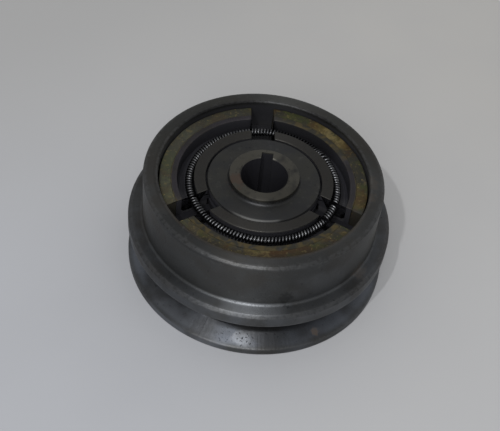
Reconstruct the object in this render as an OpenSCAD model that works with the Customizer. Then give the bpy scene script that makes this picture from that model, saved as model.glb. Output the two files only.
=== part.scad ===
// Centrifugal clutch with a single-groove belt pulley, for a small engine.
// Millimetres, +Z up. The origin is on the shaft axis, in the face the part rests on.
// A keyed hub drives three lined shoes; speed throws them out against the drum.

/* [Drum] */
// Height from the rest face to the drum rim
height = 50; // [48:0.5:53]
// Outer diameter of the drum wall
drum_d = 101.4; // [98:0.2:105]
// Diameter of the friction wall inside the drum
drum_bore_d = 89; // [86:0.2:91]
// Depth of the cup from the rim to its floor
cup_depth = 24.5; // [23.5:0.5:26]
// Bevel on the outer edge of the rim
rim_bevel = 0.9; // [0.4:0.1:1.4]
// Bevel on the inner edge of the rim
rim_inner_bevel = 0.5; // [0.2:0.1:1]
// Fillet between the drum wall and the flange shelf
shelf_fillet = 1.2; // [0.5:0.1:2.5]
// Fillet in the corner of the cup floor
cup_fillet = 1; // [0.4:0.1:1.4]
// Distance of the bearing lip's edge outside the outer ring's land
lip_step = 1.1; // [0.6:0.1:1.4]

/* [Belt pulley] */
// Outer diameter of both flanges
flange_d = 114; // [112:0.5:118]
// Thickness of the lower flange at its rim
lower_rim_t = 3.7; // [3:0.1:4.5]
// Thickness of the upper flange at its rim
upper_rim_t = 6.6; // [5.5:0.1:7]
// Width of the belt groove at its mouth
groove_w = 16.2; // [15.5:0.1:16.8]
// Depth of the belt groove
groove_depth = 14; // [12:0.5:14.5]
// Angle between the flanks of the groove
groove_angle = 34; // [32:1:38]
// Bevel on the upper edge of the upper flange
flange_bevel = 1.25; // [0.5:0.05:2]
// Edge break on the other flange edges
flange_break = 0.4; // [0.2:0.1:0.8]
// Inner diameter of the turned relief in the rest face
relief_inner_d = 68; // [64:1:76]
// Outer diameter of the turned relief in the rest face
relief_outer_d = 100; // [90:1:106]
// Depth of the turned relief in the rest face
relief_depth = 1.2; // [0.6:0.2:2]

/* [Hub] */
// Diameter of the shaft bore
bore_d = 20; // [18:0.05:22]
// Width of the keyway
key_w = 5; // [4:0.5:6]
// Depth of the keyway from the bore wall
key_depth = 2.9; // [2:0.1:3]
// Angle of the keyway from the first gap between shoes
key_turn = -7; // [-30:1:30]
// Diameter of the raised boss
boss_d = 29.8; // [28:0.2:32]
// Height of the boss above the disc
boss_h = 2.7; // [2:0.1:3.2]
// Fillet at the foot of the boss
boss_fillet = 1.2; // [0.4:0.1:1.6]
// Diameter of the disc and of the driver under it
disc_d = 48; // [47:0.5:50]
// Thickness of the disc over the shoe tongues
disc_t = 2.9; // [2.5:0.1:3.5]
// Distance of the disc face below the rim
disc_drop = 3.2; // [2.8:0.1:3.4]
// Edge break on the disc, the boss and the ends of the sleeve
hub_bevel = 0.5; // [0.2:0.1:0.8]
// Diameter of the neck that the shoe tongues reach into
neck_d = 41; // [39:0.5:42]
// Distance of the sleeve end above the rest face
sleeve_rise = 1; // [0.5:0.1:1.4]
// Diameter of the shoulder on the bearing
shoulder_d = 37; // [35:0.5:38]
// Reach of the drive arms from the axis
arm_r = 42; // [38:0.5:43]
// Height of the drive arms
arm_h = 11.7; // [9:0.1:12.5]

/* [Shoes] */
// Width of the parallel gaps between the shoes
shoe_gap = 10; // [9:0.5:12]
// Distance of the shoe faces below the rim
shoe_drop = 3.1; // [2.8:0.1:3.5]
// Wall of each shoe inside the spring groove
inner_wall = 4.85; // [4.5:0.05:5.5]
// Depth of the spring groove
spring_groove_depth = 7.5; // [6.5:0.5:9]
// Wall of each shoe outside the spring groove
outer_wall = 2.6; // [2:0.1:2.8]
// Height of the tongue under the hub disc
tongue_h = 2.6; // [2:0.1:3]
// Thickness of the friction lining
lining_t = 4.8; // [4.2:0.1:5]
// Distance of the lining ends inside the shoe faces
lining_inset = 0.3; // [0:0.1:1]
// Thickness of the bond under the lining
bond_t = 0.1; // [0.05:0.05:0.2]
// Edge break on the shoes
shoe_bevel = 0.5; // [0.2:0.1:0.8]
// Width of the floor clearance under the shoes and the hub driver
floor_gap = 0.9; // [0.6:0.1:1.2]

/* [Garter spring] */
// Outer diameter of the coils
coil_d = 3.8; // [3.6:0.1:4.2]
// Diameter of the wire
wire_d = 1.1; // [0.9:0.05:1.15]
// Number of coils round the ring
coil_count = 140; // [120:1:142]
// Depth of the seat in the inner wall of the shoes
seat_depth = 0.3; // [0.1:0.05:0.4]
// Distance of the coil centre below the shoe faces
spring_drop = 3.1; // [2.9:0.1:3.6]

/* [Ball bearing] */
// Bore of the bearing
bearing_bore_d = 30; // [29:0.5:31]
// Outer diameter of the bearing
bearing_d = 55; // [54:0.5:56]
// Width of the bearing as a share of its radial section
bearing_w_share = 1.04; // [1.03:0.01:1.08]
// Distance of the bearing above the rest face
bearing_rise = 5; // [4.8:0.1:5.5]
// Diameter of a ball as a share of the bearing's radial section
ball_share = 0.762; // [0.72:0.002:0.766]
// Number of balls
ball_count = 11; // [11]
// Distance of the rings' lands from the pitch circle as a share of a ball's radius
land_share = 0.46; // [0.42:0.01:0.5]
// Thickness of the seals
seal_t = 0.8; // [0.6:0.1:0.9]
// Bevel on the corners of the rings
ring_bevel = 1; // [0.6:0.1:1.1]

/* [Circlips] */
// Thickness of the circlip on the hub sleeve
hub_clip_t = 1.5; // [1.2:0.1:1.7]
// Depth of the hub circlip groove
hub_clip_depth = 0.7; // [0.5:0.1:0.9]
// Thickness of the circlip in the pulley
drum_clip_t = 2; // [1.7:0.1:2.2]
// Depth of the pulley circlip groove
drum_clip_depth = 1.5; // [1:0.1:1.7]

/* [Clearances] */
// Radial gap between the lining and the drum, which is the travel of the shoes
lining_gap = 0.5; // [0.4:0.1:1]
// Gap between the shoes and the hub driver
shoe_clear = 0.6; // [0.4:0.1:0.8]
// Gap on each side of a drive arm
arm_clear = 0.3; // [0.2:0.05:0.5]
// Gap on each side of a tongue
tongue_clear = 0.15; // [0.1:0.05:0.3]
// Gap between the spring and its seat
spring_clear = 0.05; // [0.02:0.01:0.1]
// Gap of the bearing fits and of the clips in their grooves
fit_gap = 0.02; // [0.01:0.01:0.03]
// Gap between a ball and its races
ball_clear = 0.05; // [0.02:0.01:0.08]
// Gap between the balls and the pockets of the cage
pocket_clear = 0.1; // [0.05:0.05:0.15]
// Gap between the cage and the lower seal
cage_clear = 0.25; // [0.1:0.05:0.3]
// Gap between the cage and the lands of the rings
cage_side_clear = 0.6; // [0.4:0.05:0.8]

/* [Hidden] */
$fn = 96;
eps = 0.01;
arc_steps = 6;
coil_steps = 8;
wire_sides = 4;
gap_turns = [90, 210, 330];
left_turn = 150;
front_turn = 270;
right_turn = 30;

drum_r = drum_d / 2;
wall_r = drum_bore_d / 2;
flange_r = flange_d / 2;
floor_z = height - cup_depth;
groove_z0 = lower_rim_t;
groove_z1 = groove_z0 + groove_w;
shelf_z = groove_z1 + upper_rim_t;
groove_r = flange_r - groove_depth;
flank_rise = tan(groove_angle / 2);

seat_r = bearing_d / 2;
sleeve_r = bearing_bore_d / 2;
bearing_section = seat_r - sleeve_r;
bearing_z0 = bearing_rise;
bearing_z1 = bearing_z0 + bearing_w_share * bearing_section;
bearing_mid = (bearing_z0 + bearing_z1) / 2;
pitch_r = (sleeve_r + seat_r) / 2;
ball_r = ball_share * bearing_section / 2;
inner_land_r = pitch_r - land_share * ball_r;
outer_land_r = pitch_r + land_share * ball_r;
lip_r = outer_land_r + lip_step;
race_r = 1.04 * ball_r;
inner_race_r = pitch_r - ball_r - ball_clear + race_r;
outer_race_r = pitch_r + ball_r + ball_clear - race_r;
seal_inset = 0.15;
seal_lip_clear = 0.25;
seal_seat = 1.2;
seal_r1 = outer_land_r + seal_seat;
cage_z0 = bearing_z0 + seal_inset + seal_t + cage_clear;
cage_z1 = bearing_mid + 0.36 * ball_r;

bore_r = bore_d / 2;
boss_r = boss_d / 2;
disc_r = disc_d / 2;
neck_r = neck_d / 2;
disc_z = height - disc_drop;
boss_z = disc_z + boss_h;
neck_z1 = disc_z - disc_t;
tongue_z1 = neck_z1 - tongue_clear;
tongue_z0 = tongue_z1 - tongue_h;
neck_z0 = tongue_z0 - tongue_clear;
driver_z0 = floor_z + floor_gap;
arm_w = shoe_gap - 2 * arm_clear;
arm_root_r = disc_r - 2;

shoe_z0 = floor_z + floor_gap;
shoe_z1 = height - shoe_drop;
shoe_r0 = disc_r + shoe_clear;
groove_r0 = shoe_r0 + inner_wall;
shoe_r1 = wall_r - lining_gap - lining_t - bond_t;
groove_r1 = shoe_r1 - outer_wall;
tongue_r0 = neck_r + shoe_clear - 0.2;
groove_floor_z = shoe_z1 - spring_groove_depth;
lining_r0 = shoe_r1 + bond_t;
lining_r1 = lining_r0 + lining_t;

spring_z = shoe_z1 - spring_drop;
seat_floor_r = groove_r0 - seat_depth;
spring_r = seat_floor_r + spring_clear + coil_d / 2;
coil_r = (coil_d - wire_d) / 2;

clip_lug_hole_d = 2;
clip_gap = 5;

// Points of an arc about (cx, cz), from angle a0 to angle a1
function arc(cx, cz, r, a0, a1, n = arc_steps) =
    [for (i = [0:n]) let (a = a0 + (a1 - a0) * i / n) [cx + r * cos(a), cz + r * sin(a)]];

// Unit vector, for the frame that the wire is swept along
function unit(v) = v / norm(v);

// Centre of the wire at the fraction t of the way round the ring
function wire_point(t) =
    let (turn = 360 * t, phase = 360 * coil_count * t, r = spring_r + coil_r * cos(phase))
    [r * cos(turn), r * sin(turn), spring_z + coil_r * sin(phase)];

// Corners of the wire's section at the fraction t of the way round the ring
function wire_ring(t) =
    let (turn = 360 * t,
         phase = 360 * coil_count * t,
         step = 0.02 / coil_count,
         along = unit(wire_point(t + step) - wire_point(t - step)),
         out = [cos(turn) * cos(phase), sin(turn) * cos(phase), sin(phase)],
         side = unit(cross(along, out)))
    [for (k = [0:wire_sides - 1])
        let (b = 360 * k / wire_sides)
        wire_point(t) + wire_d / 2 * (cos(b) * unit(cross(side, along)) + sin(b) * side)];

module ring_section(r0, r1, z0, z1, bevel = 0) {
    rotate_extrude()
        polygon([[r0 + bevel, z0], [r1 - bevel, z0], [r1, z0 + bevel], [r1, z1 - bevel],
                 [r1 - bevel, z1], [r0 + bevel, z1], [r0, z1 - bevel], [r0, z0 + bevel]]);
}

module torus(r, section_r, z) {
    translate([0, 0, z])
        rotate_extrude()
            translate([r, 0])
                circle(r = section_r);
}

// Turned steel cup and belt pulley in one piece
module drum_pulley() {
    flank = (groove_depth - flange_break) * flank_rise;
    color("dimgray")
        rotate_extrude()
            polygon(concat(
                [[seat_r + 0.8, 0], [relief_inner_d / 2, 0], [relief_inner_d / 2 + 0.5, relief_depth],
                 [relief_outer_d / 2 - 0.5, relief_depth], [relief_outer_d / 2, 0],
                 [flange_r - flange_break, 0], [flange_r, flange_break],
                 [flange_r, groove_z0 - flange_break], [flange_r - flange_break, groove_z0],
                 [groove_r, groove_z0 + flank], [groove_r, groove_z1 - flank],
                 [flange_r - flange_break, groove_z1], [flange_r, groove_z1 + flange_break],
                 [flange_r, shelf_z - flange_bevel], [flange_r - flange_bevel, shelf_z]],
                arc(drum_r + shelf_fillet, shelf_z + shelf_fillet, shelf_fillet, 270, 180),
                [[drum_r, height - rim_bevel], [drum_r - rim_bevel, height],
                 [wall_r + rim_inner_bevel, height], [wall_r, height - rim_inner_bevel]],
                arc(wall_r - cup_fillet, floor_z + cup_fillet, cup_fillet, 0, -90),
                [[lip_r + 0.5, floor_z], [lip_r, floor_z - 0.5], [lip_r, bearing_z1],
                 [seat_r, bearing_z1], [seat_r, bearing_z0],
                 [seat_r + drum_clip_depth, bearing_z0],
                 [seat_r + drum_clip_depth, bearing_z0 - drum_clip_t - 2 * fit_gap],
                 [seat_r, bearing_z0 - drum_clip_t - 2 * fit_gap], [seat_r, 0.8]]));
}

// One of the three arms that push the shoes round, rooted in the driver
module drive_arm() {
    intersection() {
        translate([arm_root_r, -arm_w / 2, driver_z0])
            cube([arm_r - arm_root_r, arm_w, arm_h]);
        cylinder(r = arm_r, h = height);
    }
}

// Keyed hub: sleeve, driver with three arms, disc and boss in one piece
module hub() {
    color("gray")
        difference() {
            union() {
                rotate_extrude()
                    polygon(concat(
                        [[bore_r + hub_bevel, sleeve_rise], [sleeve_r - hub_bevel, sleeve_rise],
                         [sleeve_r, sleeve_rise + hub_bevel],
                         [sleeve_r, bearing_z0 - hub_clip_t - 2 * fit_gap],
                         [sleeve_r - hub_clip_depth, bearing_z0 - hub_clip_t - 2 * fit_gap],
                         [sleeve_r - hub_clip_depth, bearing_z0], [sleeve_r, bearing_z0],
                         [sleeve_r, bearing_z1], [shoulder_d / 2, bearing_z1],
                         [shoulder_d / 2, driver_z0], [disc_r, driver_z0],
                         [disc_r, neck_z0], [neck_r, neck_z0], [neck_r, neck_z1],
                         [disc_r, neck_z1], [disc_r, disc_z - hub_bevel],
                         [disc_r - hub_bevel, disc_z]],
                        arc(boss_r + boss_fillet, disc_z + boss_fillet, boss_fillet, 270, 180),
                        [[boss_r, boss_z - hub_bevel], [boss_r - hub_bevel, boss_z],
                         [bore_r + hub_bevel, boss_z], [bore_r, boss_z - hub_bevel],
                         [bore_r, sleeve_rise + hub_bevel]]));
                for (a = gap_turns)
                    rotate(a)
                        drive_arm();
            }
            rotate(gap_turns[0] + key_turn)
                translate([0, -key_w / 2, -eps])
                    cube([bore_r + key_depth, key_w, height + 2 * eps]);
        }
}

// Snap ring on the sleeve: a ring thinner at its gap, with two drilled lugs
module hub_circlip() {
    r0 = sleeve_r - hub_clip_depth + fit_gap;
    r1 = sleeve_r + 1.9;
    lug_r = sleeve_r + 2.2;
    lug_turn = asin((clip_gap / 2 + 1.7) / lug_r);
    color("darkslategray")
        translate([0, 0, bearing_z0 - hub_clip_t - fit_gap])
            difference() {
                union() {
                    translate([-0.5, 0, 0])
                        cylinder(r = r1, h = hub_clip_t);
                    for (side = [-1, 1])
                        rotate(side * lug_turn)
                            translate([lug_r, 0, 0])
                                cylinder(d = 4, h = hub_clip_t);
                }
                translate([0, 0, -eps])
                    cylinder(r = r0, h = hub_clip_t + 2 * eps);
                translate([0, -clip_gap / 2, -eps])
                    cube([2 * r1, clip_gap, hub_clip_t + 2 * eps]);
                for (side = [-1, 1])
                    rotate(side * lug_turn)
                        translate([lug_r, 0, -eps])
                            cylinder(d = clip_lug_hole_d, h = hub_clip_t + 2 * eps);
            }
}

// Snap ring in the pulley, with its lugs turned inwards
module drum_circlip() {
    r1 = seat_r + drum_clip_depth - fit_gap;
    r0 = seat_r - 2;
    lug_r = seat_r - 2.4;
    lug_turn = asin((clip_gap / 2 + 2) / lug_r);
    color("darkslategray")
        translate([0, 0, bearing_z0 - drum_clip_t - fit_gap])
            difference() {
                cylinder(r = r1, h = drum_clip_t);
                difference() {
                    translate([-0.6, 0, -eps])
                        cylinder(r = r0, h = drum_clip_t + 2 * eps);
                    for (side = [-1, 1])
                        rotate(side * lug_turn)
                            translate([lug_r, 0, -eps])
                                cylinder(d = 4.6, h = drum_clip_t + 2 * eps);
                }
                translate([0, -clip_gap / 2, -eps])
                    cube([2 * r1, clip_gap, drum_clip_t + 2 * eps]);
                for (side = [-1, 1])
                    rotate(side * lug_turn)
                        translate([lug_r, 0, -eps])
                            cylinder(d = clip_lug_hole_d, h = drum_clip_t + 2 * eps);
            }
}

module bearing_inner_ring() {
    color("silver")
        difference() {
            ring_section(sleeve_r + fit_gap, inner_land_r, bearing_z0, bearing_z1, ring_bevel);
            torus(inner_race_r, race_r, bearing_mid);
        }
}

module bearing_outer_ring() {
    color("silver")
        difference() {
            ring_section(outer_land_r, seat_r - fit_gap, bearing_z0, bearing_z1, ring_bevel);
            torus(outer_race_r, race_r, bearing_mid);
            for (z = [bearing_z0 - eps, bearing_z1 - seal_inset - seal_t])
                ring_section(outer_land_r - 1, seal_r1, z, z + seal_inset + seal_t + eps);
        }
}

// Snap-in cage: a ring with a pocket for each ball
module bearing_cage() {
    color("burlywood")
        difference() {
            ring_section(inner_land_r + cage_side_clear, outer_land_r - cage_side_clear,
                         cage_z0, cage_z1, 0.3);
            for (i = [0:ball_count - 1])
                rotate(360 * i / ball_count)
                    translate([pitch_r, 0, bearing_mid])
                        sphere(r = ball_r + pocket_clear);
        }
}

module bearing_ball(i) {
    color("gainsboro")
        rotate(360 * (i - 1) / ball_count)
            translate([pitch_r, 0, bearing_mid])
                sphere(r = ball_r);
}

module bearing_seal(z) {
    color("black")
        ring_section(inner_land_r + seal_lip_clear, seal_r1 - fit_gap, z, z + seal_t, 0.15);
}

module bearing_seal_upper() {
    bearing_seal(bearing_z1 - seal_inset - seal_t + fit_gap);
}

module bearing_seal_lower() {
    bearing_seal(bearing_z0 + seal_inset - fit_gap);
}

// Plan of the space between two gap centre lines, less half a gap on each side
module shoe_plan(turn) {
    reach = 4 * wall_r;
    apex = shoe_gap / 2 / cos(30);
    rotate(turn)
        translate([apex, 0])
            polygon([[0, 0], [reach * cos(60), -reach * sin(60)], [reach * cos(60), reach * sin(60)]]);
}

// Bevel along the upper edges of a shoe's two ends
module shoe_end_bevel(turn) {
    for (side = [-1, 1])
        rotate(turn + 60 * side)
            mirror([0, side > 0 ? 1 : 0, 0])
                rotate([90, 0, 90])
                    linear_extrude(wall_r)
                        polygon([[shoe_gap / 2 - 1, shoe_z1 - shoe_bevel - 1],
                                 [shoe_gap / 2, shoe_z1 - shoe_bevel],
                                 [shoe_gap / 2 + shoe_bevel + 1, shoe_z1 + 1],
                                 [shoe_gap / 2 - 1, shoe_z1 + 1]]);
}

// Cast shoe: tongue, inner wall with the spring seat, groove and outer wall
module shoe(turn) {
    seat_z0 = spring_z - coil_d / 2;
    seat_z1 = spring_z + coil_d / 2;
    color("slategray")
        difference() {
            intersection() {
                rotate_extrude()
                    polygon([[shoe_r0, shoe_z0], [shoe_r1 - shoe_bevel, shoe_z0],
                             [shoe_r1, shoe_z0 + shoe_bevel], [shoe_r1, shoe_z1],
                             [groove_r1 + 0.2, shoe_z1], [groove_r1, shoe_z1 - 0.2],
                             [groove_r1, groove_floor_z + 1], [groove_r1 - 1, groove_floor_z],
                             [seat_floor_r + 1, groove_floor_z], [seat_floor_r, groove_floor_z + 1],
                             [seat_floor_r, seat_z1 - seat_depth], [groove_r0, seat_z1],
                             [groove_r0, shoe_z1 - 0.2], [groove_r0 - 0.2, shoe_z1],
                             [shoe_r0 + 0.2, shoe_z1], [shoe_r0, shoe_z1 - 0.2],
                             [shoe_r0, tongue_z1], [tongue_r0, tongue_z1],
                             [tongue_r0, tongue_z0], [shoe_r0, tongue_z0]]);
                linear_extrude(height)
                    shoe_plan(turn);
            }
            shoe_end_bevel(turn);
        }
}

// Friction lining bonded to the outside of a shoe
module lining(turn) {
    color("darkkhaki")
        intersection() {
            ring_section(lining_r0, lining_r1, shoe_z0 + lining_inset, shoe_z1 - lining_inset, 0.3);
            linear_extrude(height)
                shoe_plan(turn);
        }
}

module shoe_left() {
    shoe(left_turn);
}

module shoe_front() {
    shoe(front_turn);
}

module shoe_right() {
    shoe(right_turn);
}

module lining_left() {
    lining(left_turn);
}

module lining_front() {
    lining(front_turn);
}

module lining_right() {
    lining(right_turn);
}

// Close coil bent into a ring: the wire is swept round a helix that closes on itself
module garter_spring() {
    steps = coil_count * coil_steps;
    points = [for (i = [0:steps - 1]) each wire_ring(i / steps)];
    faces = [for (i = [0:steps - 1], k = [0:wire_sides - 1])
        let (n = steps * wire_sides,
             a = i * wire_sides + k,
             b = i * wire_sides + (k + 1) % wire_sides,
             c = (b + wire_sides) % n,
             d = (a + wire_sides) % n)
        each [[a, b, c], [a, c, d]]];
    color("lightsteelblue")
        polyhedron(points, faces);
}

hub();
hub_circlip();
bearing_inner_ring();
garter_spring();
bearing_cage();
bearing_ball(1);  // bearing_ball_1
bearing_ball(2);  // bearing_ball_2
bearing_ball(3);  // bearing_ball_3
bearing_ball(4);  // bearing_ball_4
bearing_ball(5);  // bearing_ball_5
bearing_ball(6);  // bearing_ball_6
bearing_ball(7);  // bearing_ball_7
bearing_ball(8);  // bearing_ball_8
bearing_ball(9);  // bearing_ball_9
bearing_ball(10);  // bearing_ball_10
bearing_ball(11);  // bearing_ball_11
drum_pulley();
bearing_outer_ring();
bearing_seal_upper();
bearing_seal_lower();
drum_circlip();
shoe_left();
shoe_front();
shoe_right();
lining_left();
lining_front();
lining_right();
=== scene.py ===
import math

import bpy
import numpy as np
from mathutils import Euler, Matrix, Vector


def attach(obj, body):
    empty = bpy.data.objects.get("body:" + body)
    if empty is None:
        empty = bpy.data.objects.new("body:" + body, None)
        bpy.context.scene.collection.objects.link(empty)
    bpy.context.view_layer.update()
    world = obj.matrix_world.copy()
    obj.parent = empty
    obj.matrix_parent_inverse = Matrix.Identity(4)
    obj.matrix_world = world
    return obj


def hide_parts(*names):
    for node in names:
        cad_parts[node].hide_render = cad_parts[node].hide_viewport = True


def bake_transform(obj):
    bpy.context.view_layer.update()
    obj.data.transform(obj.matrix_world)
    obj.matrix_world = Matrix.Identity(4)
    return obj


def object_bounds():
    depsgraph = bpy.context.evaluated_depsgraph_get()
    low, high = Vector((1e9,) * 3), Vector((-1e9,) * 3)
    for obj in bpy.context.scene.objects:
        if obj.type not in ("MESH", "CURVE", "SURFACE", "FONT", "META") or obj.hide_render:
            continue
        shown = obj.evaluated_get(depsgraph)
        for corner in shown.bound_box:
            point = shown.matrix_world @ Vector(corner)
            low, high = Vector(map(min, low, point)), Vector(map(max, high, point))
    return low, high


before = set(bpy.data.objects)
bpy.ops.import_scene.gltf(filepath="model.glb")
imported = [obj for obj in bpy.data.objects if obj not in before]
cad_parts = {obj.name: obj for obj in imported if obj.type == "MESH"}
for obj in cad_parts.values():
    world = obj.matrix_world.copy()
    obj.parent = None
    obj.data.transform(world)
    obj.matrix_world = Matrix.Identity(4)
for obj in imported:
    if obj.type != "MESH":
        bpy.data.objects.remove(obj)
CAD_BOX = [list(corner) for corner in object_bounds()]

bl_info = {
    "name": "Centrifugal clutch",
    "version": (1, 0, 0),
    "blender": (4, 5, 0),
    "location": "View3D > Sidebar > Clutch",
    "description": "Dresses a centrifugal clutch with turned steel, linings and a garter spring",
    "category": "Add Mesh",
}

MM = 0.001
GAP_TURNS = (90.0, 210.0, 330.0)
SHOE_TURNS = {"left": 150.0, "front": 270.0, "right": 30.0}
FLANGE_R, HEIGHT = CAD_BOX[1][0] / MM, CAD_BOX[1][2] / MM

# Places inside the clutch, in millimetres: the bearing's seat in the pulley and the lip over
# it, the hub's sleeve and its shoulder, the grooves of the two circlips, the driver with its
# three arms, the slot under the hub's disc and the shoes' tongues in it, and the bearing's seals
SEAT_R, SEAT_Z0, SEAT_Z1, LIP_R = 27.5, 5, 18, 24.54
SLEEVE_R, SHOULDER_R = 15, 18.5
DRUM_CLIP_R, DRUM_CLIP_Z = 29, 2.96
HUB_CLIP_R, HUB_CLIP_Z = 14.3, 3.46
DRIVER_R, DRIVER_Z0, DRIVER_Z1 = 24, 26.4, 38.1
ARM_HALF, ARM_R = 4.7, 42.0
SLOT_R, SLOT_Z = 20.5, 41
TONGUE_R, TONGUE_Z0, TONGUE_Z1 = 20.9, 41.15, 43.75
SEAL_R0, SEAL_R1, SEAL_T = 19.31, 24.62, 0.8
GROOVE_HALF = 17  # degrees, half the angle between the flanks of the belt groove
KEYWAY_OFF = 7  # degrees from the keyway to the middle of the gap behind it


# Values that a user would change


def linear(code):
    """Linear RGB of an sRGB hex code: below 0.04045 divided by 12.92, above it a 2.4 power."""
    part = np.array([int(code[i : i + 2], 16) for i in (0, 2, 4)]) / 255
    return tuple(
        float(x)
        for x in np.where(part <= 0.04045, part / 12.92, ((part + 0.055) / 1.055) ** 2.4)
    )


def length(name, description, value_mm, low_mm, high_mm):
    """A length property, given in millimetres and kept in metres."""
    return bpy.props.FloatProperty(
        name=name,
        description=description,
        default=value_mm * MM,
        min=low_mm * MM,
        max=high_mm * MM,
        precision=5,
        unit="LENGTH",
    )


def colour(name, description, code):
    """A colour property from an sRGB hex code."""
    return bpy.props.FloatVectorProperty(
        name=name,
        description=description,
        default=linear(code),
        min=0,
        max=1,
        subtype="COLOR",
    )


class ClutchSizes(bpy.types.PropertyGroup):
    """Sizes of the visible surfaces; the defaults are those of the CAD model."""

    drum_r: length("Drum radius", "Outer radius of the drum wall", 50.7, 45, 55)
    wall_r: length("Friction wall radius", "Inner radius of the drum", 44.5, 40, 48)
    floor_z: length("Cup floor", "Height of the cup floor", 25.5, 20, 30)
    shelf_z: length("Flange shelf", "Height of the upper flange's face", 26.5, 20, 32)
    groove_z0: length("Groove foot", "Lower edge of the belt groove", 3.7, 2, 6)
    groove_z1: length("Groove head", "Upper edge of the belt groove", 19.9, 15, 24)
    groove_r: length("Groove bottom", "Radius at the groove bottom", 43, 38, 50)
    rim_bevel: length("Rim bevel", "Bevel on the outer edge of the rim", 0.9, 0.2, 2)
    bore_r: length("Bore radius", "Radius of the shaft bore", 10, 8, 12)
    key_w: length("Keyway width", "Width of the keyway", 5, 3, 7)
    key_top: length("Keyway depth", "Keyway floor from the axis", 12.9, 11, 14)
    boss_r: length("Boss radius", "Radius of the raised boss", 14.9, 13, 17)
    boss_z: length("Boss top", "Height of the boss face", 49.5, 46, 50)
    disc_r: length("Disc radius", "Radius of the hub disc", 24, 20, 25)
    disc_z: length("Disc top", "Height of the disc face", 46.8, 44, 48)
    shoe_z: length("Shoe top", "Height of the shoe faces", 46.9, 44, 48)
    shoe_gap: length("Shoe gap", "Width of the gaps between shoes", 10, 8, 12)
    lining_r0: length("Lining inside", "Inner radius of the linings", 39.2, 36, 42)
    lining_r1: length("Lining outside", "Outer radius of the linings", 44, 40, 46)
    spring_r: length("Spring radius", "Radius to the middle of the coils", 31.3, 28, 34)
    spring_z: length("Spring height", "Height of the middle of the coils", 43.8, 40, 46)
    coil_r: length("Coil radius", "Radius to the middle of the wire", 1.35, 1, 2)
    wire_r: length("Wire radius", "Radius of the spring's wire", 0.5, 0.2, 0.7)
    coils: bpy.props.IntProperty(
        name="Coils", description="Turns round the whole ring", default=140, min=60, max=200
    )
    segments: bpy.props.IntProperty(
        name="Segments", description="Steps round a turned piece", default=512, min=64, max=1024
    )


class ClutchColours(bpy.types.PropertyGroup):
    """Colours as they look under plain light."""

    drum: colour("Drum steel", "Turned steel of the drum and pulley", "515252")
    hub: colour("Hub steel", "Turned steel of the hub", "464643")
    polished: colour("Polished steel", "Steel that the belt and hands keep bright", "777C85")
    shoe: colour("Shoe iron", "Sintered iron of the shoes", "42413F")
    # Grime, and painted shade too: this colour also darkens the groove under the upper flange, the
    # foot of the boss and the faces down inside the drum, the hub and the shoes
    grime_and_shade: colour("Grime", "Old oil and dust on walls inside the drum", "28282C")
    dust: colour("Dust", "Lining dust deep inside the drum", "323234")
    # Darker inside the bore, below its top
    bore_dark: colour("Bore film", "Dull film of dried oil in the bore", "222226")
    stain: colour("Stain", "Dry oil stain on the steel", "474440")
    rust: colour("Rust", "Light rust on bare steel", "4A3820")
    lining: colour("Lining", "Moulded friction lining", "27261F")
    lining_gold: colour("Lining, yellow", "Resin-rich patches of the lining", "4A3F22")
    lining_green: colour("Lining, green", "Greenish patches of the lining", "32361B")
    lining_brown: colour("Lining, brown", "Scorched patches of the lining", "372510")
    wire: colour("Spring wire", "Drawn wire of the garter spring", "68696B")
    clip: colour("Clip steel", "Blued steel of the circlips", "3A3B40")
    bearing: colour("Bearing steel", "Ground steel of the bearing", "B9BABC")
    seal: colour("Seal rubber", "Rubber of the bearing seals", "1E1E20")
    cage: colour("Cage", "Moulded cage of the bearing", "B59A6A")
    floor_near: colour("Floor, near", "Pale floor near the camera", "ABADB2")
    floor_far: colour("Floor, far", "Pale floor behind the part", "AEADAB")


def sizes():
    """The size values in millimetres, by name; counts stay as they are."""
    kept = bpy.context.scene.clutch_sizes
    return {
        key: getattr(kept, key) if key in ("coils", "segments") else getattr(kept, key) / MM
        for key in ClutchSizes.__annotations__
    }


def paint(code):
    """Red, green, blue and alpha of a colour value, by its name, or of an sRGB hex code."""
    chosen = getattr(bpy.context.scene.clutch_colours, code, None)
    return (*(linear(code) if chosen is None else chosen), 1.0)


# Profiles


def arc(centre_r, centre_z, radius, start, end, steps=6):
    """Arc in the plane of radius and height: centre plus radius times cosine and sine."""
    a = np.radians(np.linspace(start, end, steps + 1))
    return np.stack([centre_r + radius * np.cos(a), centre_z + radius * np.sin(a)], 1)


def joined(*parts):
    """One closed loop of points from arrays and lists of points."""
    return np.vstack([np.array(part, float).reshape(-1, 2) for part in parts])


def edge_lengths(loop):
    """Length of each edge of a closed loop, from its point to the next."""
    return np.linalg.norm(np.roll(loop, -1, 0) - loop, axis=1)


def eased(loop, radius, steps=3):
    """Every corner becomes a parabola: a point moves along (1-t)^2 A + 2t(1-t) P + t^2 B,
    where P is the corner and A and B lie radius away on its two edges."""
    after = edge_lengths(loop)
    before = np.roll(after, 1)
    cut = np.minimum(radius, 0.4 * np.minimum(before, after))[:, None]
    a = loop + (np.roll(loop, 1, 0) - loop) / before[:, None] * cut
    b = loop + (np.roll(loop, -1, 0) - loop) / after[:, None] * cut
    t = np.linspace(0, 1, steps + 1)[None, :, None]
    bend = (1 - t) ** 2 * a[:, None] + 2 * t * (1 - t) * loop[:, None] + t**2 * b[:, None]
    return bend.reshape(-1, 2)


def dense(loop, step):
    """A closed loop with points added, so that no edge is longer than step."""
    parts = np.maximum(1, np.ceil(edge_lengths(loop) / step).astype(int))
    index = np.repeat(np.arange(len(loop)), parts)
    first = np.repeat(np.cumsum(parts) - parts, parts)
    t = ((np.arange(len(index)) - first) / parts[index])[:, None]
    return loop[index] * (1 - t) + np.roll(loop, -1, 0)[index] * t


def direction(loop):
    """1 for a closed loop that runs anticlockwise and -1 for one that runs the other way: the
    sign of its area, which is half the sum of x y' - x' y over its edges."""
    following = np.roll(loop, -1, 0)
    return np.sign(np.sum(loop[:, 0] * following[:, 1] - following[:, 0] * loop[:, 1]))


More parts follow.
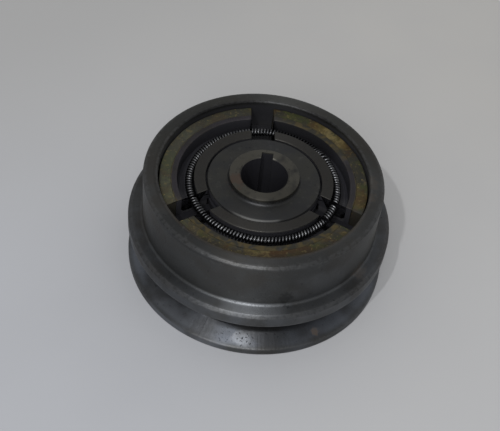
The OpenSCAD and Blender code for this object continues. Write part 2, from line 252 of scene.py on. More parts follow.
def outward(loop):
    """Unit normals of a closed loop: the tangent from the point before to the one after,
    turned a quarter towards the outside."""
    along = np.roll(loop, -1, 0) - np.roll(loop, 1, 0)
    normal = np.stack([along[:, 1], -along[:, 0]], 1)
    normal /= np.maximum(np.linalg.norm(normal, axis=1), 1e-9)[:, None]
    return normal * direction(loop)


def edge_wear(points, corners, reach=0.7):
    """1 on the outer corners of a loop, falling off as exp(-(distance / reach) squared)."""
    before = corners - np.roll(corners, 1, 0)
    after = np.roll(corners, -1, 0) - corners
    turn = before[:, 0] * after[:, 1] - before[:, 1] * after[:, 0]
    outer = corners[turn * direction(corners) > 1e-6]
    away = np.linalg.norm(points[:, None] - outer[None], axis=2).min(1)
    return np.exp(-((away / reach) ** 2))


def ripple(points, wavelength, seed, waves=24):
    """Smooth unevenness of about -1 to 1: a sum of sine waves in random directions and phases."""
    rng = np.random.default_rng(seed)
    way = rng.normal(size=(waves, points.shape[-1]))
    way *= (rng.uniform(0.6, 1.8, waves) / np.linalg.norm(way, axis=1))[:, None]
    phase = rng.uniform(0, 2 * math.pi, waves)
    angle = points @ way.T * (2 * math.pi / wavelength) + phase
    return np.sin(angle).sum(-1) / math.sqrt(waves)


# Meshes


def half_turns(angle):
    """An angle in radians, brought between minus pi and pi by whole turns."""
    return (angle + math.pi) % (2 * math.pi) - math.pi


def cylindrical(radius, angle, height):
    """Points in millimetres from radius, angle in radians and height, as arrays of one shape."""
    radius, angle, height = np.broadcast_arrays(radius, angle, height)
    return np.stack([radius * np.cos(angle), radius * np.sin(angle), height], -1)


def quads(rows, columns, wrap_rows=True, wrap_columns=True):
    """Faces between neighbouring rows and columns; a wrapped way joins its last to its first."""
    r = np.arange(rows if wrap_rows else rows - 1)[:, None]
    c = np.arange(columns if wrap_columns else columns - 1)[None, :]
    r1, c1 = (r + 1) % rows, (c + 1) % columns
    ring = [r * columns + c, r * columns + c1, r1 * columns + c1, r1 * columns + c]
    return np.stack(np.broadcast_arrays(*ring), -1).reshape(-1, 4)


def weld(points, faces):
    """Points that coincide become one, and faces that shrank to a line go. Faces are four
    indices; one with two that are the same comes back as a triangle."""
    _, first, where = np.unique(
        np.round(points, 5), axis=0, return_index=True, return_inverse=True
    )
    faces = where.reshape(-1)[faces]
    same = faces == np.roll(faces, -1, 1)
    whole = faces[~same.any(1)]
    bent = faces[same.sum(1) == 1]
    twin = same[same.sum(1) == 1]
    triangles = bent[~twin].reshape(-1, 3)
    return points[first], first, whole, triangles


def volume(points, faces):
    """Signed volume of a closed mesh of four-sided faces: its tetrahedra to the origin, added."""
    a, b, c, d = (points[faces[:, i]] for i in range(4))
    return (np.cross(a, b) * c).sum() / 6 + (np.cross(a, c) * d).sum() / 6


def linked(name, data):
    """A new object with that data, in the scene."""
    made = bpy.data.objects.new(name, data)
    bpy.context.scene.collection.objects.link(made)
    return made


def piece(name, points, faces, more=(), marks=None, sharp=32):
    """A mesh object at the origin from points in millimetres; its faces are turned outwards if
    its volume comes out negative. more holds faces of other sizes, such as flat end loops, and
    marks holds values for the points, by name, that the material reads."""
    turned = volume(points, faces) < 0
    every = [*faces.tolist(), *[list(face) for face in more]]
    if turned:
        every = [face[::-1] for face in every]
    mesh = bpy.data.meshes.new(name)
    mesh.from_pydata((points * MM).tolist(), [], every)
    for key, values in (marks or {}).items():
        kept = mesh.attributes.new(key, "FLOAT", "POINT")
        kept.data.foreach_set("value", np.asarray(values, np.float32))
    mesh.update()
    mesh.shade_smooth()
    mesh.set_sharp_from_angle(angle=math.radians(sharp))
    return linked(name, mesh)


def dress(obj, body, slot, *nodes):
    """Rides the piece on its body, hides the CAD nodes that it stands for, and gives it the
    material of its slot.
    """
    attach(obj, body)
    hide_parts(*nodes)
    obj.data.materials.append(finish(slot))
    return obj


def dents(angle, along, places):
    """Depth of small knocks: each is depth times a bell curve over the angle and the way along
    the profile. A place is (degrees, way along, depth, width round, width along) in mm."""
    depth = np.zeros(np.broadcast_shapes(angle.shape, along.shape))
    for turn, way, deep, wide, tall in places:
        off = half_turns(angle - math.radians(turn))
        depth = depth + deep * np.exp(-((off * 50 / wide) ** 2) - ((along - way) / tall) ** 2)
    return depth


def revolve(name, loop, segments, wear=None, hollow=None, sharp=32):
    """A ring turned from a closed loop (r, z): x = r cos a, y = r sin a. hollow(angle, loop)
    gives how far each point lies under the true surface, along the loop's normal."""
    angle = np.linspace(0, 2 * math.pi, segments, endpoint=False)[:, None]
    r, z = loop[None, :, 0], loop[None, :, 1]
    if hollow is not None:
        normal = outward(loop)
        deep = hollow(angle, loop)
        r, z = r - deep * normal[None, :, 0], z - deep * normal[None, :, 1]
    points = cylindrical(r, angle, z).reshape(-1, 3)
    marks = {} if wear is None else {"wear": np.tile(wear, segments)}
    return piece(name, points, quads(segments, len(loop)), marks=marks, sharp=sharp)


# Materials


def add(tree, kind, inputs, output=0, **settings):
    """Adds one node with its settings and links. Each input is a value, or the socket that feeds
    it. Gives back one output, or the whole node where output is None."""
    made = tree.nodes.new("ShaderNode" + kind)
    for key, value in settings.items():
        setattr(made, key, value)
    for key, value in inputs.items():
        if isinstance(value, bpy.types.NodeSocket):
            tree.links.new(value, made.inputs[key])
        else:
            made.inputs[key].default_value = value
    return made if output is None else made.outputs[output]


class Finish:
    """A finish as it builds up: where a point lies, the colour laid so far, and how much bare
    metal is left."""

    def __init__(self, name, ground, metal):
        self.material = bpy.data.materials.new(name)
        self.material.use_nodes = True
        self.tree = self.material.node_tree
        self.tree.nodes.clear()
        self.place = add(self.tree, "TexCoord", {}, "Object")
        flat = {0: self.place, 1: (1.0, 1.0, 0.0)}
        flat = add(self.tree, "VectorMath", flat, operation="MULTIPLY")
        radius = add(self.tree, "VectorMath", {0: flat}, "Value", operation="LENGTH")
        self.way = add(self.tree, "VectorMath", {0: flat}, operation="NORMALIZE")
        x, y, z = add(self.tree, "SeparateXYZ", {0: self.place}, None).outputs
        self.sides = {"x": x, "y": y, "z": z, "r": radius}
        self.colour = paint(ground)
        self.metal = metal

    def patches(self, pitch_mm, seed, detail=3.0, swirl=0.0):
        """Uneven patches about pitch_mm apart. The seed moves them, so that no two patterns lie
        alike."""
        shift = {0: self.place, 1: (0.1 * seed, 0.07 * seed, -0.05 * seed)}
        where = add(self.tree, "VectorMath", shift, operation="ADD")
        values = {"Vector": where, "Scale": 1 / (pitch_mm * MM), "Detail": detail}
        return add(self.tree, "TexNoise", {**values, "Distortion": swirl}, "Fac")

    def lathe(self, pitch_mm, turning):
        """Tool marks that run round the axis: noise over radius and height, which changes only
        slowly with the direction (x / r, y / r)."""
        side = add(self.tree, "SeparateXYZ", {0: self.way}, None).outputs
        slow = {0: side["X"], 1: pitch_mm * MM * turning}
        slow = add(self.tree, "Math", slow, operation="MULTIPLY")
        where = {0: self.sides["r"], 1: self.sides["z"], 2: slow}
        where = add(self.tree, "CombineXYZ", where)
        turn = add(self.tree, "Math", {0: side["Y"], 1: turning}, operation="MULTIPLY")
        values = {"Vector": where, "W": turn, "Scale": 1 / (pitch_mm * MM), "Detail": 2.0}
        return add(self.tree, "TexNoise", values, "Fac", noise_dimensions="4D")

    def chatter(self, pitch_mm, around_mm):
        """Faint facets side by side round the axis, pitch_mm apart on a circle of radius
        around_mm: noise over the direction alone."""
        spread = {0: self.way, 1: (around_mm * MM, around_mm * MM, 0.0)}
        where = add(self.tree, "VectorMath", spread, operation="MULTIPLY")
        values = {"Vector": where, "Scale": 1 / (pitch_mm * MM), "Detail": 3.0}
        return add(self.tree, "TexNoise", values, "Fac")

    def mark(self, name):
        """A value that the mesh keeps on its points, such as how worn an edge is."""
        return add(self.tree, "Attribute", {}, "Fac", attribute_name=name)

    def spot(self, centre_mm, radius_mm, seed, ragged=2.2):
        """1 at a point and 0 beyond a ragged edge about radius_mm away: the distance, made
        uneven by patches of that many radii, and stepped."""
        centre = tuple(x * MM for x in centre_mm)
        away = {0: self.place, 1: centre}
        away = add(self.tree, "VectorMath", away, "Value", operation="DISTANCE")
        uneven = {0: self.patches(radius_mm * 0.5, seed, 4.0), 1: radius_mm * ragged * MM, 2: away}
        uneven = add(self.tree, "Math", uneven, operation="MULTIPLY_ADD")
        edge, inside = ragged / 2 + 1, ragged / 2 + 0.3
        return self.reach((uneven, radius_mm * edge * MM, radius_mm * inside * MM))

    def at(self, side, nothing_mm, everything_mm):
        """A bound on the place, in millimetres: its "x", "y" or height "z", or its radius "r"."""
        return self.sides[side], nothing_mm * MM, everything_mm * MM

    def reach(self, *bounds, most=1.0):
        """How far a finish shows, from 0 to most. Each bound is a value and two limits: nothing
        at the first, all at the second, smooth between. Several bounds are multiplied."""
        for value, nothing, everything in bounds:
            limits = {"Value": value, "From Min": nothing, "From Max": everything, "To Max": most}
            most = add(self.tree, "MapRange", limits, interpolation_type="SMOOTHSTEP")
        return most

    def lay(self, colour, *bounds, most=1.0, film=False):
        """Lays a colour over the surface where its bounds reach. A film also hides the metal."""
        amount = self.reach(*bounds, most=most)
        layers = {0: amount, 6: self.colour, 7: paint(colour)}
        self.colour = add(self.tree, "Mix", layers, 2, data_type="RGBA")
        if film:
            self.metal = add(self.tree, "Mix", {0: amount, 2: self.metal, 3: 0.0}, 0)

    def dab(self, colour, centre_mm, radius_mm, seed, *bounds, ragged=2.2, **how):
        """Lays a colour on one spot, where its other bounds reach too."""
        spot = (self.spot(centre_mm, radius_mm, seed, ragged), 0.0, 1.0)
        self.lay(colour, spot, *bounds, **how)

    def rough(self, least, *bounds, most):
        """Roughness: least, and up to most more where its bounds reach."""
        more = self.reach(*bounds, most=most)
        return add(self.tree, "Math", {0: more, 1: least}, operation="ADD")

    def close(self, roughness, heights, **shader):
        """The shader over the bumps; each height is a pattern, its depth in mm and its
        strength."""
        normal = {}
        for height, depth, strength in heights:
            bump = {"Height": height, "Distance": depth * MM, "Strength": strength}
            normal = {"Normal": add(self.tree, "Bump", {**bump, **normal}, "Normal")}
        values = {"Base Color": self.colour, "Metallic": self.metal, "Roughness": roughness}
        values.update({key.replace("_", " "): value for key, value in shader.items()})
        surface = add(self.tree, "BsdfPrincipled", {**values, **normal})
        add(self.tree, "OutputMaterial", {"Surface": surface}, None)
        return self.material

    def turned(self, roughness, heights, grooved, **shader):
        """The shader of a turned face. Its grooves run round the axis, so it scatters light
        across them more than along them, and highlights become streaks across the rings. The
        tangent is the axis crossed with the place, turned with the body."""
        around = {0: (0.0, 0.0, 1.0), 1: self.place}
        around = add(self.tree, "VectorMath", around, operation="CROSS_PRODUCT")
        frames = {"vector_type": "VECTOR", "convert_from": "OBJECT", "convert_to": "WORLD"}
        tangent = add(self.tree, "VectorTransform", {0: around}, **frames)
        grooves = {"Anisotropic": grooved, "Anisotropic_Rotation": 0.25, "Tangent": tangent}
        return self.close(roughness, heights, **grooves, **shader)


def turned_steel_drum():
    """Mild steel, turned and handled with oily gloves: dull grey, with fine rings, soft dark
    stains, worn edges, a few pits and freckles of rust. The belt keeps the pulley brighter than
    the drum. Light and shade are painted on too: painted highlights on the front of the shelf,
    the lower flank and the lower rim, a painted reflection low on the right of the wall, and
    painted shade on the front and back of the rim, in the groove under the upper flange and
    down inside the drum. The rings are drawn at 0.75 mm, four times the real feed, so that
    they show."""
    f = Finish("mild steel, turned and oiled", "drum", 1.0)
    marks, coarse, facets = f.lathe(0.75, 3.0), f.lathe(2.2, 1.5), f.chatter(1.8, 50.0)
    stains, specks = f.patches(16, 1.0, 5.0), f.patches(1.4, 9.0, 4.0)
    f.lay("polished", f.at("z", 27.5, 26.2), (f.patches(14, 8.0), 0.3, 0.6), most=0.35)
    flank = (f.at("z", 3.6, 4.4), f.at("z", 20, 19.5))
    f.lay("polished", *flank, most=0.85)
    # Painted shadow of the upper flange on the flank deep in the groove, with some grime
    f.lay("grime_and_shade", *flank, f.at("r", 50.5, 47.5), most=0.75)
    shelf = (f.at("z", 25.8, 26.4), f.at("z", 28, 27.2))
    # A painted highlight on the front of the shelf, where the lamps' highlight falls
    f.dab("85888C", (-3, -53.5, 26.5), 19, 5.5, *shelf, ragged=0.5, most=0.8)
    # A painted reflection that makes the wall paler low on the right
    f.dab("747679", (24, -47, 31), 19, 9.5, f.at("z", 46, 40), ragged=0.8, most=0.6)
    # A painted highlight on the front left of the lower flank and of the lower rim
    painted_sheen = (f.spot((-34, -43, 4), 26, 6.5, 0.6), 0.0, 1.0)
    f.lay("9A9EA5", painted_sheen, *flank, most=0.7)
    # A painted highlight on the front of the lower flank
    f.dab("B4B8BE", (-6.5, -53, 5), 5.5, 2.5, *flank, ragged=1.0, most=0.5)
    bevel = (f.at("z", 24.8, 25.4), f.at("r", 55.5, 55.9))
    f.lay("37383A", *bevel, most=0.55)
    # The same painted highlight on the lower rim
    f.lay("8A8E95", painted_sheen, f.at("z", 3.6, 3), most=0.9)
    rim = f.at("z", 47, 48.5)
    # Painted shade on the front and front left of the rim, dimming its highlight
    f.dab("3A3B3B", (-34, -37, 50), 21, 3.5, rim, ragged=0.6, most=0.75)
    f.dab("3A3B3B", (-18.9, -46.8, 50), 8, 2.9, rim, ragged=0.8, most=0.6)
    inner_edge = (f.at("r", 47, 45.8), f.at("z", 48.8, 49.4))
    f.lay("2C2C2C", f.at("x", 0, -20), *inner_edge, most=0.5)
    # Painted shade on the back of the rim top, with a warmer tone
    f.lay("403F39", f.at("y", -10, 20), f.at("z", 48.5, 49.4), most=0.6)
    # Painted shade on the front of the rim top, dimming the light there
    f.lay("3A3A3A", f.at("y", -34, -44), f.at("z", 48.8, 49.6), most=0.4)
    f.lay("stain", (stains, 0.42, 0.66), most=0.6)
    f.lay("3F4143", (f.patches(30, 6.0, 4.0), 0.35, 0.7), most=0.4)
    f.lay("333436", (marks, 0.35, 0.75), most=0.35)
    f.lay("6A6B6A", (f.patches(2.6, 3.0, 5.0), 0.6, 0.74), most=0.22)
    f.lay("grime_and_shade", (specks, 0.64, 0.74), most=0.5)
    f.dab("2F2F30", (9, -51, 31), 5, 2.6, most=0.5)
    worn = f.reach((f.patches(1.3, 4.0, 4.0), 0.3, 0.6))
    f.lay("6F7072", (f.mark("wear"), 0.35, 1.0), (worn, 0.0, 1.0), most=0.25)
    pits = f.patches(0.8, 7.0, 2.0)
    for place, seed, deep, most in (
        ((-5, -52.5, 5), 1.1, 0.64, 0.9),
        ((-14, -51, 5), 2.1, 0.66, 0.7),
    ):
        pitted = (f.spot(place, 5, seed), 0.2, 0.6)
        f.lay("17171A", pitted, (pits, deep - 0.06, deep), most=most)
    for place, size, most, seed in (
        ((24.8, -47.4, 4.7), 2.4, 0.6, 1.0),
        ((40.6, -30.4, 27.5), 5.5, 0.25, 2.0),
        ((44.2, -2.0, 49.6), 5.5, 0.2, 3.0),
        ((43.2, -11.0, 49.6), 4.5, 0.2, 4.0),
    ):
        f.dab("rust", place, size, seed, most=most, film=True)
    dusty = (f.patches(3, 2.2, 4.0), 0.2, 0.45)
    edge = (f.at("r", 46.6, 45), f.at("z", 48.5, 49.2), f.at("y", -14, -30))
    f.lay("251D10", *edge, dusty, most=0.8, film=True)
    inside = f.at("r", 46, 44.7)
    # Darker down the inner wall: grime and painted shade
    f.lay("grime_and_shade", f.at("z", 49, 47), inside, most=0.9, film=True)
    f.lay("dust", f.at("z", 40, 34), inside, most=0.9, film=True)
    # Painted shade high on the back of the inner wall, where more light falls
    f.lay("19191C", f.at("z", 36, 43), inside, f.at("y", 20, 35), most=0.6)
    rough = f.rough(0.41, (marks, 0.3, 0.7), most=0.08)
    rough = add(f.tree, "Math", {0: rough, 1: f.reach(*flank, most=0.05)}, operation="SUBTRACT")
    facets = f.reach((facets, 0.2, 0.8), f.at("z", 27, 25))
    heights = ((coarse, 0.05, 0.25), (facets, 0.05, 0.5), (marks, 0.04, 0.45))
    heights = (*heights, (specks, 0.03, -0.3))
    return f.turned(rough, heights, 0.82, Specular_IOR_Level=0.2)


def turned_steel_hub():
    """Medium carbon steel, faced on a lathe: rings on the disc, a browner boss and a darker bore.
    Painted shade darkens the front and back of the disc, the front and the foot of the boss, the
    keyway and the arms down in the gaps, and a painted highlight lies on the front of the disc's
    edge. The rings are drawn at 0.7 mm, so that they show."""
    f = Finish("carbon steel, faced and oiled", "hub", 1.0)
    marks, specks = f.lathe(0.7, 2.0), f.patches(1.2, 4.0, 4.0)
    f.lay("3D3E40", (f.patches(8, 2.0, 5.0), 0.4, 0.66), most=0.6)
    f.lay("333335", (marks, 0.4, 0.7), most=0.45)
    f.lay("5F5F5C", (f.patches(2.2, 5.0, 5.0), 0.58, 0.72), most=0.3)
    # Painted shade on the front of the disc
    f.lay("353639", f.at("y", -10, -17), f.at("z", 46.2, 46.6), most=0.5)
    # A painted highlight on the front of the disc's edge
    f.dab("A2A2A0", (-4, -22.5, 46.6), 15, 4.5, f.at("r", 22.7, 23.4), ragged=1.0, most=0.28)
    # Painted shade on the back of the disc
    f.lay("353639", f.at("y", 12, 19), f.at("z", 46.2, 46.6), most=0.45)
    # Painted shade in the fillet at the foot of the boss, dimming its highlight
    f.lay("grime_and_shade", f.at("r", 16.7, 16), f.at("z", 46.8, 47), most=0.4)
    f.lay("5A5851", f.at("z", 47.8, 49.2), (f.patches(5, 3.0), 0.25, 0.55), most=0.75)
    # Painted shade on the front of the boss
    f.lay("403E39", f.at("y", -3, -10), f.at("z", 48.6, 49.2), most=0.4)
    f.dab("5A453C", (-11, -4, 49.5), 5, 6.0, most=0.45)
    f.lay("grime_and_shade", (specks, 0.64, 0.74), most=0.6)
    worn = f.reach((f.patches(1.1, 8.0, 4.0), 0.35, 0.65))
    f.lay("6E6F70", (f.mark("wear"), 0.35, 1.0), (worn, 0.0, 1.0), most=0.45)
    # Darker under the disc: grime and painted shade
    f.lay("grime_and_shade", f.at("z", 46.5, 45.8), f.at("r", 15, 15.4), film=True)
    f.lay("dust", f.at("z", 40, 34), f.at("r", 13.2, 13.6), most=0.9, film=True)
    # Painted shade on the tops of the arms, deep in the gaps between the shoes
    deep = (f.at("z", 39.5, 38.5), f.at("r", 17, 19))
    f.lay("1F1F22", *deep, most=0.9, film=True)
    # Darker inside the bore, below its top
    f.lay("bore_dark", f.at("r", 13.6, 13.2), f.at("z", 49.4, 48.7), film=True)
    # Painted shade in the keyway
    keyway = (f.at("r", 10.1, 10.4), f.at("r", 13.6, 13.2))
    f.lay("242428", *keyway, f.at("z", 49, 48.5), most=0.9)
    rough = f.rough(0.38, (marks, 0.3, 0.7), most=0.1)
    heights = ((marks, 0.02, 0.4), (specks, 0.03, -0.3))
    return f.turned(rough, heights, 0.6, Specular_IOR_Level=0.2)


def sintered_iron():
    """Sintered iron, faced on top and left as pressed elsewhere: fine grain and faint rings on
    the face, smears of lining dust on the outer wall, dark end faces, and a groove that is
    darker with grime and painted shade, with painted light on its floor at the front."""
    f = Finish("sintered iron, faced", "shoe", 1.0)
    marks, grain = f.lathe(0.8, 3.0), f.patches(0.5, 5.0, 4.0)
    f.lay("49464C", f.at("r", 36.3, 36.6), most=0.8)
    f.lay("3F3D39", (f.patches(8, 7.0, 4.0), 0.4, 0.68), most=0.6)
    f.lay("2E2E30", (marks, 0.4, 0.65), most=0.5)
    f.lay("262628", (grain, 0.58, 0.7), most=0.5)
    worn = f.reach((f.patches(1.0, 3.0, 4.0), 0.4, 0.65))
    f.lay("66655F", (f.mark("wear"), 0.4, 1.0), (worn, 0.0, 1.0), most=0.12)
    top = f.at("z", 46.2, 46.7)
    yellow, olive = f.patches(4.0, 5.5, 4.0, 0.6), f.patches(3.0, 4.4, 5.0)
    smeared = ((f.at("y", -10, -20),), (f.at("y", 10, 18), f.at("x", 0, 12)))
    for side in (*smeared, (f.at("r", 38.6, 39),)):
        on_wall = (*side, f.at("r", 36.3, 36.6), top)
        f.lay("lining", *on_wall, (olive, 0.2, 0.45), film=True)
        f.lay("lining_gold", *on_wall, (yellow, 0.42, 0.62), most=0.6, film=True)
    # Darker below the top face: grime and painted shade
    f.lay("grime_and_shade", f.at("z", 46.8, 46.2), film=True)
    shadowy = (f.at("y", 15, 24), f.at("x", -2, 6))
    f.lay("141416", f.at("z", 46.9, 46.3), *shadowy, most=0.6)
    end = ((f.mark("end"), 0.5, 1.0), f.at("r", 32, 35))
    f.lay("2C2C30", f.at("z", 46.8, 46.2), *end, film=True)
    # Painted light on the floor of the groove at the front, where the groove lies in shadow
    groove_floor = (f.at("z", 41.2, 40.2), f.at("r", 36.8, 36.4))
    f.lay("38383B", *groove_floor, f.at("y", -1, -6), film=True)
    f.lay("dust", f.at("z", 38, 34), most=0.9, film=True)
    rough = f.rough(0.42, (marks, 0.3, 0.7), most=0.1)
    heights = ((marks, 0.04, 0.4), (grain, 0.04, 0.3))
    return f.turned(rough, heights, 0.6, Specular_IOR_Level=0.2)


def moulded_lining():
    """Moulded friction lining: resin, fibres and brass dust pressed together, mottled from
    yellow to green and brown, dry and slightly rough."""
    f = Finish("friction lining, moulded", "lining", 0.0)
    patch, fibre = f.patches(5.0, 8.2, 5.0, 0.9), f.patches(0.7, 2.4, 5.0, 1.5)
    f.lay("lining_green", (patch, 0.46, 0.6), most=0.75)
    f.lay("lining_gold", (f.patches(11, 1.3, 4.0, 0.6), 0.46, 0.64), most=0.5)
    f.lay("lining_brown", (f.patches(8, 3.7, 4.0, 0.5), 0.52, 0.66), most=0.6)
    f.lay("2A2A28", (f.patches(6, 6.6, 4.0, 0.4), 0.52, 0.68), most=0.7)
    top = 46.6
    for x, y, size, name, most, seed in (
        (33, 25, 7, "lining_gold", 0.6, 1),
        (26, 32, 5.5, "lining_gold", 0.6, 2),
        (41, 6, 6, "lining", 0.5, 7),
        (2, -41.3, 9, "lining_brown", 0.85, 3),
        (14, -39, 8, "lining_brown", 0.6, 8),
        (-6, -41, 5, "lining_gold", 0.6, 4),
        (-40.5, 9, 8, "lining_green", 0.8, 5),
        (40.5, -9.5, 7, "lining_brown", 0.5, 6),
    ):
        f.dab(name, (x, y, top), size, seed, most=most)
    mottled = (f.patches(2.6, 4.7, 4.0, 0.5), 0.36, 0.6)
    f.dab("6E6240", (31, 27.5, top), 8, 9, mottled, ragged=1.6, most=0.6)
    for x, y, size, seed in ((-40, -9, 9, 2.7), (-33, 25, 6, 3.1)):
        f.dab("42442F", (x, y, top), size, seed, mottled, ragged=1.6, most=0.75)
    f.lay("31312B", f.at("x", 2, -10), f.at("y", 4, 18), most=0.55)
    f.lay("3C3D36", f.at("x", -24, -34), most=0.4)
    # Painted shadow of the front rim on the outer part of the front lining
    f.lay("241F16", f.at("r", 40, 41.8), f.at("y", -30, -37), most=0.5)
    f.dab("5A5133", (-3, -39.6, top), 6, 6.2, mottled, ragged=1.2, most=0.6)
    f.lay("1F1D17", (fibre, 0.56, 0.7), most=0.55)
    f.lay("7F7044", (f.patches(0.8, 7.1, 2.0), 0.67, 0.74), most=0.7)
    f.lay("625738", (f.patches(1.5, 9.3, 3.0, 0.5), 0.56, 0.7), most=0.35)
    f.lay("1E1E1C", f.at("z", 45.5, 40), most=0.6)
    f.lay("262420", (f.mark("end"), 0.5, 1.0), most=0.8)
    rough = f.rough(0.6, (fibre, 0.4, 0.7), most=0.2)
    relief = ((fibre, 0.1, 0.6), (patch, 0.2, 0.4))
    return f.close(rough, relief, Specular_IOR_Level=0.2)


def drawn_wire():
    """Spring wire, cold drawn: it catches the light in small points, through a film of oil.
    Painted shade darkens it on the left, at the back right and on the underside of the coils.
    """
    f = Finish("spring steel wire, drawn", "wire", 1.0)
    oil = f.patches(4, 1.0)
    f.lay("303134", (oil, 0.38, 0.62), most=0.7)
    # Painted shade on the left of the spring
    f.lay("3A3A3B", f.at("x", -16, -28), most=0.5)
    # Painted shade on the back right of the spring
    f.lay("1A1A1D", f.at("y", 17, 22), f.at("x", 3, 8), most=0.9)
    # Painted shade on the underside of the coils
    f.lay("1A1A1D", f.at("z", 43.5, 42.3), most=0.6)
    rough = f.rough(0.28, (oil, 0.4, 0.65), most=0.1)
    return f.close(rough, ((f.patches(0.6, 2.0, 2.0), 0.01, 0.3),))


def blued_clip():
    """Spring steel, stamped and blued: nearly black with a satin sheen."""
    f = Finish("spring steel, stamped and blued", "clip", 1.0)
    cloud = f.patches(3, 1.0, 4.0)
    f.lay("2B2A2C", (cloud, 0.4, 0.65), most=0.6)
    rough = f.rough(0.34, (cloud, 0.65, 0.4), most=0.12)
    return f.close(rough, ((f.patches(0.5, 2.0), 0.02, 0.3),))


def ground_bearing_steel():
    """Bearing steel, hardened and ground: bright, with very fine rings, drawn at 0.3 mm."""
    f = Finish("bearing steel, ground", "bearing", 1.0)
    marks = f.lathe(0.3, 3.0)
    f.lay("8D8E91", (marks, 0.4, 0.7), most=0.3)
    f.lay("6E6A62", (f.patches(5, 2.0), 0.45, 0.65), most=0.35)
    rough = f.rough(0.16, (marks, 0.3, 0.7), most=0.1)
    return f.close(rough, ((marks, 0.01, 0.2),))


def seal_rubber():
    """Nitrile rubber, moulded: matt black with a little dust."""
    f = Finish("nitrile rubber, moulded", "seal", 0.0)
    f.lay("38383A", (f.patches(2.5, 1.0, 5.0), 0.5, 0.72), most=0.5)
    rough = f.rough(0.5, (f.patches(1.0, 3.0), 0.3, 0.7), most=0.16)
    return f.close(rough, ((f.patches(0.3, 2.0), 0.02, 0.3),))


def cage_nylon():
    """Glass-filled nylon, moulded: a warm beige with a satin face."""
    f = Finish("glass-filled nylon, moulded", "cage", 0.0)
    f.lay("8F7850", (f.patches(2.0, 1.0, 4.0), 0.4, 0.7), most=0.4)
    return f.close(0.45, ((f.patches(0.4, 2.0), 0.02, 0.3),))


FINISHES = {
    "drum_steel": turned_steel_drum,
    "hub_steel": turned_steel_hub,
    "shoe_iron": sintered_iron,
    "friction_lining": moulded_lining,
    "spring_wire": drawn_wire,
    "spring_steel": blued_clip,
    "bearing_steel": ground_bearing_steel,
    "seal_rubber": seal_rubber,
    "cage_polymer": cage_nylon,
}
MADE = {}


def finish(slot):
    """The material of a slot, made the first time that it is asked for."""
    if slot not in MADE:
        MADE[slot] = FINISHES[slot]()
    return MADE[slot]


def refinish(slot, *nodes):
    """Gives CAD nodes that stay on show the material of their slot."""
    for name in nodes:
        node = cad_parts[name]
        node.data.materials.clear()
        node.data.materials.append(finish(slot))


# Operators


class CLUTCH_OT_drum(bpy.types.Operator):
    """Drum and belt pulley: one profile of cup, shelf, flanges, groove and bearing seat,
    turned round the axis, with small knocks on its outer edges"""

    bl_idname = "clutch.drum"
    bl_label = "Drum and pulley"

    def execute(self, context):
        s = sizes()
        mouth_r, mouth_z, relief_r0, relief_r1, relief_z = 28.3, 0.8, 34, 50, 1.2
        bevel, shelf_bevel, inner_bevel, fillet = 0.4, 1.25, 0.5, 1.2
        edge, bottom, wall, outer = FLANGE_R - bevel, s["groove_r"], s["wall_r"], s["drum_r"]
        z0, z1, rim, shelf, floor = (
            s[key] for key in ("groove_z0", "groove_z1", "rim_bevel", "shelf_z", "floor_z")
        )
        fall = (edge - bottom) * math.tan(math.radians(GROOVE_HALF))
        corners = joined(
            [(mouth_r, 0), (relief_r0, 0), (relief_r0 + 0.5, relief_z)],
            [(relief_r1 - 0.5, relief_z), (relief_r1, 0), (edge, 0)],
            [(FLANGE_R, bevel), (FLANGE_R, z0 - bevel), (edge, z0)],
            [(bottom, z0 + fall), (bottom, z1 - fall), (edge, z1), (FLANGE_R, z1 + bevel)],
            [(FLANGE_R, shelf - shelf_bevel), (FLANGE_R - shelf_bevel, shelf)],
            arc(outer + fillet, shelf + fillet, fillet, 270, 180),
            [(outer, HEIGHT - rim), (outer - rim, HEIGHT)],
            [(wall + inner_bevel, HEIGHT), (wall, HEIGHT - inner_bevel)],
            arc(wall - 1, floor + 1, 1, 0, -90),
            [(LIP_R + 0.5, floor), (LIP_R, floor - 0.5), (LIP_R, SEAT_Z1), (SEAT_R, SEAT_Z1)],
            [(SEAT_R, SEAT_Z0), (DRUM_CLIP_R, SEAT_Z0), (DRUM_CLIP_R, DRUM_CLIP_Z)],
            [(SEAT_R, DRUM_CLIP_Z), (SEAT_R, mouth_z)],
        )
        loop = dense(eased(corners, 0.22), 1.6)
        way = np.concatenate([[0], np.cumsum(edge_lengths(loop))[:-1]])
        rng = np.random.default_rng(11)
        edges = [(FLANGE_R - 0.6, shelf - 0.6), (outer - 0.45, HEIGHT - 0.45)]
        edges += [(FLANGE_R, 0.2), (FLANGE_R, z0 - 0.2), (wall + 0.2, HEIGHT)]
        knocks = []
        for spot in edges:
            near = way[np.linalg.norm(loop - np.array(spot), axis=1).argmin()]
            for turn in rng.uniform(0, 360, 5):
                deep, wide = rng.uniform(0.03, 0.12), rng.uniform(0.4, 1.2)
                knocks.append((turn, near, deep, wide, 0.5))

        def hollow(angle, loop):
            worn = np.clip(ripple(np.hstack([np.cos(angle), np.sin(angle)]) * 50, 22, 3), 0, 2)
            soft = edge_wear(loop, corners, 0.5)[None, :] * worn[:, None] * 0.015
            return dents(angle, way[None, :], knocks) + soft

        wear = edge_wear(loop, corners)
        drum = revolve("drum_and_pulley", loop, s["segments"], wear, hollow)
        dress(drum, "drum", "drum_steel", "drum_pulley")
        return {"FINISHED"}


